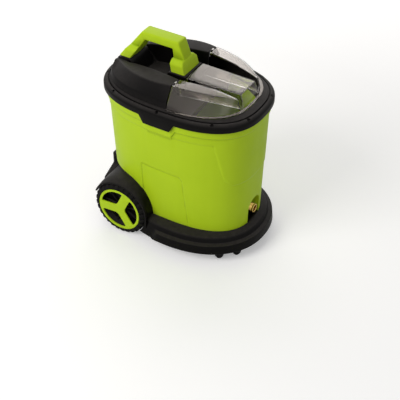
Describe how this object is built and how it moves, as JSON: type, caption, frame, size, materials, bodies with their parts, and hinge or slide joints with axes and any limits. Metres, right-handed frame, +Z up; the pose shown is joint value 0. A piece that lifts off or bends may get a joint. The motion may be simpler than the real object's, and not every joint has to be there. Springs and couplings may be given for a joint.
{
  "type": "cordless pressure washer",
  "caption": "Wheeled cordless pressure washer: oval water tank with a rim and hinged clear lid, cowl with carry handle, stepped base, docked battery and a brass hose outlet.",
  "frame": {"origin": "bottom centre of the bounding box, on the floor under the machine", "axes": "+X towards the end with the brass outlet, +Y towards the left side, +Z up"},
  "size_m": [0.424, 0.32, 0.508],
  "materials": {
    "green_plastic": "satin moulded",
    "black_plastic": "fine satin moulded",
    "clear_plastic": "clear, polished",
    "rubber": "matt",
    "tyre": "matt",
    "steel": "bright",
    "motor_steel": "satin",
    "aluminium": "cast",
    "brass": "machined",
    "circuit_board": "coated"
  },
  "bodies": {
    "machine": {"base_tray": "black_plastic", "front_foot_outer_left": "rubber", "front_foot_outer_right": "rubber", "front_foot_inner_left": "rubber", "front_foot_inner_right": "rubber", "axle": "steel", "axle_push_nut_left": "steel", "axle_push_nut_right": "steel", "tank_shell": "green_plastic", "rim_seal": "rubber", "tank_strainer": "black_plastic", "suction_hose": "rubber", "pump_head": "aluminium", "pump_manifold": "aluminium", "pump_motor": "motor_steel", "pump_cradle_rear": "black_plastic", "pump_cradle_front": "black_plastic", "pressure_pipe": "steel", "outlet_fitting": "brass", "outlet_locknut": "brass", "rim_frame": "black_plastic", "deck_plate": "black_plastic", "rear_cowl": "black_plastic", "hinge_pin_left": "steel", "hinge_pin_right": "steel", "carry_handle": "green_plastic", "battery_bay": "black_plastic", "battery_terminal_left": "brass", "battery_terminal_right": "brass", "control_board": "circuit_board", "motor_lead": "rubber", "switch_bezel": "black_plastic"},
    "wheel_left": {"tyre_left": "tyre", "wheel_core_left": "black_plastic", "spoke_cover_left": "green_plastic"},
    "wheel_right": {"tyre_right": "tyre", "wheel_core_right": "black_plastic", "spoke_cover_right": "green_plastic"},
    "lid": {"clear_lid": "clear_plastic"},
    "battery": {"battery_case": "black_plastic"},
    "release_button": {"battery_button": "green_plastic"},
    "power_switch": {"power_rocker": "green_plastic"}
  },
  "joints": [
    {"name": "wheel_left_spin", "type": "hinge", "parent": "machine", "child": "wheel_left", "pos_m": [-0.118, 0.133, 0.072], "axis": [0, 1, 0], "continuous": true},
    {"name": "wheel_right_spin", "type": "hinge", "parent": "machine", "child": "wheel_right", "pos_m": [-0.118, -0.133, 0.072], "axis": [0, 1, 0], "continuous": true},
    {"name": "lid_hinge", "type": "hinge", "parent": "machine", "child": "lid", "pos_m": [0.0108, 0, 0.4485], "axis": [0, -1, 0], "range_deg": [0, 90]},
    {"name": "battery_slide", "type": "slide", "parent": "machine", "child": "battery", "axis": [-1, 0, 0], "range_m": [0, 0.1]},
    {"name": "button_press", "type": "slide", "parent": "battery", "child": "release_button", "axis": [1, 0, 0], "range_m": [0, 0.0025], "stiffness_N_per_m": 300, "springref_m": -0.001},
    {"name": "switch_rock", "type": "hinge", "parent": "machine", "child": "power_switch", "pos_m": [-0.198, 0.068, 0.088], "axis": [0, 1, 0], "range_deg": [-16, 0]}
  ]
}
